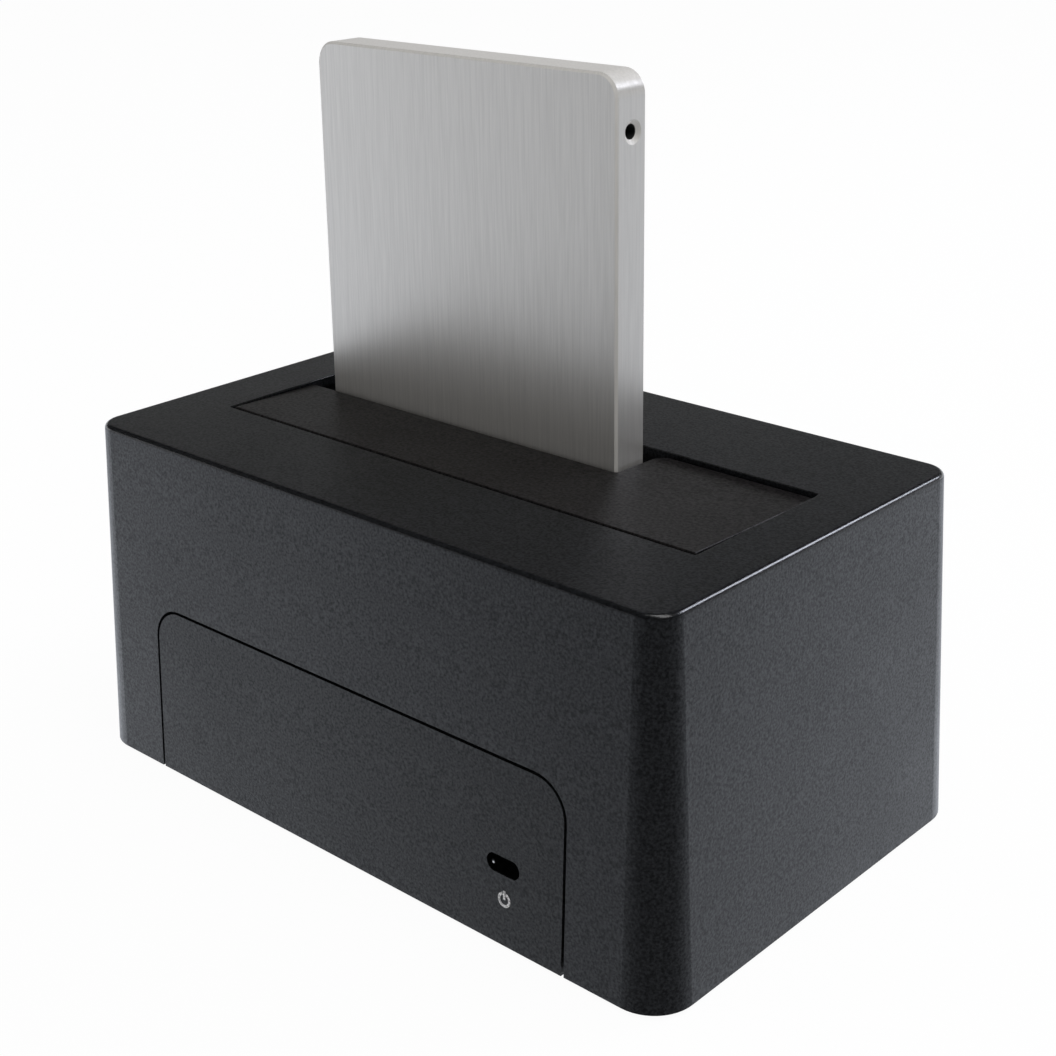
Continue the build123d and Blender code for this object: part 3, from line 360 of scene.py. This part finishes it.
# Drive housing and cover. Die-cast and stamped aluminium, brushed along the drive's length and
# then clear anodised: fine upright hairlines over a soft grey reflection.
def brushed(name, hex_code, roughness, line_mm, run_mm, along, depth_mm, metal_share=1.0):
    """Metal with hairlines along one axis, line_mm wide and about run_mm long."""
    material = bpy.data.materials.new(name)
    material.use_nodes = True
    tree = material.node_tree
    skin = tree.nodes["Principled BSDF"]
    skin.inputs["Metallic"].default_value = metal_share
    place = add_node(tree, "ShaderNodeTexCoord").outputs["Object"]
    scales = [1000 / line_mm] * 3
    scales["XYZ".index(along)] = 1000 / run_mm
    stretched = add_node(tree, "ShaderNodeMapping", {"Scale": scales}, Vector=place)
    lines = add_node(
        tree, "ShaderNodeTexNoise", {"Scale": 1.0, "Detail": 3.0, "Roughness": 0.6},
        Vector=stretched.outputs["Vector"],
    )
    relief_strength = 0.03
    relief = add_node(
        tree, "ShaderNodeBump", {"Strength": relief_strength, "Distance": depth_mm / 1000},
        Height=lines.outputs["Fac"],
    )
    groove, ridge = 0.3, 0.7
    sheen_spread = 0.03
    sheen = add_node(
        tree, "ShaderNodeMapRange",
        {
            "From Min": groove, "From Max": ridge,
            "To Min": roughness + sheen_spread, "To Max": roughness - sheen_spread,
        },
        Value=lines.outputs["Fac"],
    )
    groove_tone = 0.72
    metal = colour(hex_code)
    dark = tuple(channel * groove_tone for channel in metal[:3]) + (1.0,)
    tone = add_node(
        tree, "ShaderNodeMix", {"data_type": "RGBA", "6": dark, "7": metal},
        Factor=lines.outputs["Fac"],
    )
    tree.links.new(tone.outputs[2], skin.inputs["Base Color"])
    tree.links.new(sheen.outputs["Result"], skin.inputs["Roughness"])
    tree.links.new(relief.outputs["Normal"], skin.inputs["Normal"])
    return material


# The clear layer makes the metal a little matt and pale, so the metal's share is under 1.
brushed_metal_share, blasted_metal_share = 0.65, 0.10
drive_aluminium = brushed(
    "brushed_anodised_aluminium", "#e2dfda", roughness=0.31, line_mm=0.38, run_mm=12.0,
    along="Z", depth_mm=0.010, metal_share=brushed_metal_share,
)
cover_aluminium = brushed(
    "brushed_aluminium_cover", "#dddad5", roughness=0.33, line_mm=0.38, run_mm=12.0,
    along="Z", depth_mm=0.010, metal_share=brushed_metal_share,
)
# Only its flat front and sides are brushed: the bevel, the corners and the top are left as
# blasted, which scatters light and stays pale all round. How squarely the skin faces out of the
# front or a side tells one from the other.
blasted_up_to, brushed_from = 0.75, 0.98
blasted_roughness_share = 2.1
case_tree = drive_aluminium.node_tree
case_skin = case_tree.nodes["Principled BSDF"]
case_place = add_node(case_tree, "ShaderNodeTexCoord")
either_way = add_node(
    case_tree, "ShaderNodeVectorMath", {"operation": "ABSOLUTE"}, i0=case_place.outputs["Normal"]
)
facing_out = add_node(case_tree, "ShaderNodeSeparateXYZ", Vector=either_way.outputs["Vector"])
straight_on = add_node(
    case_tree, "ShaderNodeMath", {"operation": "MAXIMUM"},
    i0=facing_out.outputs["X"], i1=facing_out.outputs["Y"],
)
bare_share = add_node(
    case_tree, "ShaderNodeMapRange",
    {
        "From Min": blasted_up_to, "From Max": brushed_from,
        "To Min": blasted_metal_share, "To Max": brushed_metal_share,
    },
    Value=straight_on.outputs[0],
)
case_tree.links.new(bare_share.outputs["Result"], case_skin.inputs["Metallic"])
coarser = add_node(
    case_tree, "ShaderNodeMapRange",
    {
        "From Min": blasted_up_to, "From Max": brushed_from,
        "To Min": blasted_roughness_share, "To Max": 1.0,
    },
    Value=straight_on.outputs[0],
)
blasted = add_node(
    case_tree, "ShaderNodeMath", {"operation": "MULTIPLY"},
    i0=coarser.outputs["Result"], i1=case_skin.inputs["Roughness"].links[0].from_socket,
)
case_tree.links.new(blasted.outputs[0], case_skin.inputs["Roughness"])
# Painted shade: the colour is darkened by the way the skin faces, most on the narrow sides,
# less on the bevel, the corners and the top, and not at all on the front.
flat_from, flat_over = 0.90, 0.99
between_darkening, side_darkening = 0.92, 0.82
painted_side_shade = add_node(
    case_tree, "ShaderNodeMapRange",
    {"From Min": flat_from, "From Max": flat_over, "To Min": between_darkening, "To Max": side_darkening},
    Value=facing_out.outputs["X"],
)
painted_shade_front = add_node(
    case_tree, "ShaderNodeMapRange", {"From Min": flat_from, "From Max": flat_over},
    Value=facing_out.outputs["Y"],
)
painted_case_shade = add_node(
    case_tree, "ShaderNodeMath", {"operation": "MAXIMUM"},
    i0=painted_side_shade.outputs["Result"], i1=painted_shade_front.outputs["Result"],
)
painted_shade_colour = add_node(
    case_tree, "ShaderNodeVectorMath", {"operation": "SCALE"},
    i0=case_skin.inputs["Base Color"].links[0].from_socket, Scale=painted_case_shade.outputs[0],
)
# The two tapped holes in each side are painted nearly black inside, a painted shade in the holes.
side_hole_y, side_hole_heights, side_hole_radius = 0.0073, (0.1193, 0.0427), 0.00128
seen_from_side = add_node(
    case_tree, "ShaderNodeVectorMath", {"operation": "MULTIPLY", "1": (0, 1, 1)},
    i0=case_place.outputs["Object"],
)
off_axes = [
    add_node(
        case_tree, "ShaderNodeVectorMath", {"operation": "DISTANCE", "1": (0, side_hole_y, hole_z)},
        i0=seen_from_side.outputs["Vector"],
    ).outputs["Value"]
    for hole_z in side_hole_heights
]
nearest = add_node(
    case_tree, "ShaderNodeMath", {"operation": "MINIMUM"}, i0=off_axes[0], i1=off_axes[1]
)
painted_hole_shade = add_node(
    case_tree, "ShaderNodeMath", {"operation": "LESS_THAN", "1": side_hole_radius},
    i0=nearest.outputs[0],
)
case_tone_with_hole_shade = add_node(
    case_tree, "ShaderNodeMix", {"data_type": "RGBA", "7": colour("#2c2c2c")},
    Factor=painted_hole_shade.outputs[0], i6=painted_shade_colour.outputs["Vector"],
)
case_tree.links.new(case_tone_with_hole_shade.outputs[2], case_skin.inputs["Base Color"])
dress(drive_aluminium, "drive_case")
dress(cover_aluminium, "drive_cover")


# Hinge rod, springs, screws and can-type parts. Ground, drawn or plated steel and drawn
# aluminium: bright metal with the fine marks of how each was made.
ground_steel = brushed(
    "ground_steel_rod", "#b0b1b3", roughness=0.22, line_mm=0.15, run_mm=3.0, along="X",
    depth_mm=0.004,
)
spring_wire = brushed(
    "drawn_spring_wire", "#8a8b8e", roughness=0.30, line_mm=0.10, run_mm=2.0, along="X",
    depth_mm=0.004,
)
zinc_plate = brushed(
    "zinc_plated_steel", "#a3a5a8", roughness=0.32, line_mm=0.35, run_mm=0.6, along="Z",
    depth_mm=0.006,
)
nickel_plate = brushed(
    "nickel_plated_steel", "#bcbab2", roughness=0.20, line_mm=0.30, run_mm=4.0, along="Y",
    depth_mm=0.004,
)
drawn_can = brushed(
    "drawn_aluminium_can", "#c3c4c6", roughness=0.25, line_mm=0.20, run_mm=3.0, along="Z",
    depth_mm=0.004,
)
dress(ground_steel, "flap_pin")
dress(spring_wire, "flap_spring_left", "flap_spring_right")
dress(
    zinc_plate, "case_screws", "liner_screws", "board_screws", "button_board_screws",
    "drive_board_screws", "drive_cover_screws",
)
dress(nickel_plate, "usb_shell", "dc_jack_pin", "dc_jack_spring")
dress(drawn_can, "capacitors", "crystal")

# Connector contacts. Stamped bronze, plated with a thin layer of gold: warm, bright and smooth.
gold_plate = brushed(
    "gold_plated_contacts", "#e0b25c", roughness=0.20, line_mm=0.10, run_mm=1.0, along="Z",
    depth_mm=0.002,
)
dress(gold_plate, "sata_contacts", "drive_plug_contacts")


# Connector bodies, switch and chips. Glass-filled nylon and moulded epoxy, duller and flatter
# than the casing, with the grain of the filler just showing.
resin_ior = 1.50
filled_nylon = spark_eroded(
    "glass_filled_nylon", "#141415", roughness=0.50, grain_mm=0.35, grain_depth_mm=0.020,
    ior=resin_ior,
)
chip_epoxy = spark_eroded(
    "moulded_chip_epoxy", "#1d1d1f", roughness=0.55, grain_mm=0.30, grain_depth_mm=0.015,
    ior=resin_ior,
)
switch_nylon = spark_eroded(
    "switch_nylon", "#26262a", roughness=0.45, grain_mm=0.40, grain_depth_mm=0.015, ior=resin_ior
)
blue_pbt = spark_eroded(
    "blue_pbt_tongue", "#1f55c4", roughness=0.35, grain_mm=0.40, grain_depth_mm=0.010,
    ior=resin_ior,
)
dress(filled_nylon, "sata_socket", "dc_jack_body", "board_header", "drive_plug")
dress(
    chip_epoxy, "bridge_chip", "flash_chip", "voltage_regulator", "power_inductor", "drive_chips"
)
dress(switch_nylon, "switch_body", "switch_plunger")
dress(blue_pbt, "usb_tongues")


# Circuit boards. Glass-epoxy laminate under green solder mask, with the copper's tracks and pads
# standing a hair proud below it and catching the light in lines.
def solder_mask(name, across, along):
    """Green circuit board with tracks on a grid, running on two of the object's axes."""
    material = bpy.data.materials.new(name)
    material.use_nodes = True
    tree = material.node_tree
    skin = tree.nodes["Principled BSDF"]
    skin.inputs["IOR"].default_value = 1.5
    skin.inputs["Roughness"].default_value = 0.28
    place = add_node(tree, "ShaderNodeTexCoord").outputs["Object"]
    split = add_node(tree, "ShaderNodeSeparateXYZ", Vector=place)
    flat = add_node(
        tree, "ShaderNodeCombineXYZ", X=split.outputs[across], Y=split.outputs[along]
    )
    track_pitch_mm = 1.27
    tracks_per_cell = 4
    run_in_cells, edge_in_cells = 1.9, 0.012
    tracks = add_node(
        tree, "ShaderNodeTexBrick",
        {
            "Scale": 1000 / (track_pitch_mm * tracks_per_cell), "Mortar Size": edge_in_cells,
            "Brick Width": run_in_cells, "Row Height": 1 / tracks_per_cell,
            "Color1": colour("#12502c"), "Color2": colour("#0f4526"), "Mortar": colour("#1d7a44"),
        },
        Vector=flat.outputs[0],
    )
    copper_mm, relief_strength = 0.03, 0.6
    relief = add_node(
        tree, "ShaderNodeBump", {"Strength": relief_strength, "Distance": copper_mm / 1000},
        Height=tracks.outputs["Fac"],
    )
    tree.links.new(tracks.outputs["Color"], skin.inputs["Base Color"])
    tree.links.new(relief.outputs["Normal"], skin.inputs["Normal"])
    return material


dress(solder_mask("green_board_level", "X", "Y"), "main_board")
dress(solder_mask("green_board_upright", "X", "Z"), "button_board", "drive_board")


# Power button. A pill of high-gloss black ABS that stands in a slot in the front panel, with the
# end of a smoked acrylic light pipe at its left, lit by the LED behind it.
gloss_abs = spark_eroded(
    "high_gloss_black_abs", "#010101", roughness=0.08, grain_mm=0.9, grain_depth_mm=0.001,
    ior=1.12, shine=0.02,
)
dress(gloss_abs, "power_button")

# Only the middle of the pipe's end is lit, a little below its centre, where the LED stands.
lit_acrylic = spark_eroded(
    "lit_smoked_acrylic", "#0c0c0d", roughness=0.30, grain_mm=0.5, grain_depth_mm=0.004,
    ior=1.49, shine=0.05,
)
lit_tree = lit_acrylic.node_tree
lit_skin = lit_tree.nodes["Principled BSDF"]
pipe_low, pipe_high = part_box("light_pipe")
glow_drop, glow_radius, glow_strength = 0.00016, 0.00020, 0.50
glow_core, glow_rim = glow_radius * 0.6, glow_radius * 1.3
pipe_centre = (pipe_low + pipe_high) / 2
glow_centre = Vector((pipe_centre.x, 0, pipe_centre.z - glow_drop))
across = add_node(
    lit_tree, "ShaderNodeVectorMath", {"operation": "MULTIPLY", "1": (1, 0, 1)},
    i0=add_node(lit_tree, "ShaderNodeTexCoord").outputs["Object"],
)
off_centre = add_node(
    lit_tree, "ShaderNodeVectorMath", {"operation": "DISTANCE", "1": glow_centre},
    i0=across.outputs["Vector"],
)
glow = add_node(
    lit_tree, "ShaderNodeMapRange",
    {"From Min": glow_core, "From Max": glow_rim, "To Min": glow_strength, "To Max": 0.0},
    Value=off_centre.outputs["Value"],
)
lit_skin.inputs["Emission Color"].default_value = colour("#f4f8ff")
lit_tree.links.new(glow.outputs["Result"], lit_skin.inputs["Emission Strength"])
dress(lit_acrylic, "light_pipe", "status_led")


# Power symbol. A broken ring with a bar through the gap, pad printed in pale grey ink on the
# front panel under the button; the ink stands a few hundredths of a millimetre proud.
symbol_x, symbol_z = 0.03685, 0.00893
symbol_radius = 0.00107
symbol_line = 0.00046
symbol_ink = 0.00003
symbol_gap_degrees = 21  # to each side of the top
ring_sides = 72
ring_outer = symbol_radius + symbol_line / 2
ring_inner = symbol_radius - symbol_line / 2
bar_top, bar_foot = 0.00154, 0.00002  # from the ring's centre
wall_lean = math.radians(2.4)
front_low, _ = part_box("front_panel")


def on_front_panel(piece, x, z):
    """Stands a piece, drawn flat about the origin with +Y up, on the leaning front panel."""
    y = front_low.y + (z - front_low.z) * math.tan(wall_lean)
    lean = Matrix.Rotation(math.pi / 2 - wall_lean, 4, "X")
    piece.data.transform(Matrix.Translation((x, y, z)) @ lean)


bpy.ops.mesh.primitive_circle_add(vertices=ring_sides, radius=ring_outer)
ring = bpy.context.object
ring.name = "power_symbol"
bpy.ops.object.mode_set(mode="EDIT")
bpy.ops.mesh.select_all(action="SELECT")
bpy.ops.mesh.extrude_edges_move()
bpy.ops.transform.resize(value=(ring_inner / ring_outer, ring_inner / ring_outer, 1))
bpy.ops.mesh.select_all(action="DESELECT")
bpy.ops.object.mode_set(mode="OBJECT")
for face in ring.data.polygons:
    off_top = math.degrees(math.atan2(abs(face.center.x), face.center.y))
    face.select = off_top < symbol_gap_degrees
bpy.ops.object.mode_set(mode="EDIT")
bpy.ops.mesh.select_mode(type="FACE")
bpy.ops.mesh.delete(type="FACE")
bpy.ops.object.mode_set(mode="OBJECT")
bpy.ops.mesh.primitive_plane_add(size=1)
bar = bpy.context.object
bar.data.transform(Matrix.Diagonal((symbol_line, bar_top - bar_foot, 1, 1)))
bar.data.transform(Matrix.Translation((0, (bar_top + bar_foot) / 2, 0)))
ring.select_set(True)
bar.select_set(True)
bpy.context.view_layer.objects.active = ring
bpy.ops.object.join()
ring.select_set(True)
thicken = ring.modifiers.new("ink", "SOLIDIFY")
thicken.thickness = symbol_ink * 2  # half of it is sunk in the panel
thicken.offset = 0
bpy.ops.object.modifier_apply(modifier=thicken.name)
on_front_panel(ring, symbol_x, symbol_z)
pale_ink = spark_eroded(
    "pale_grey_pad_print", "#b4b3b4", roughness=0.5, grain_mm=0.2, grain_depth_mm=0.004, ior=1.45
)
ring.data.materials.append(pale_ink)
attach(ring, "dock")
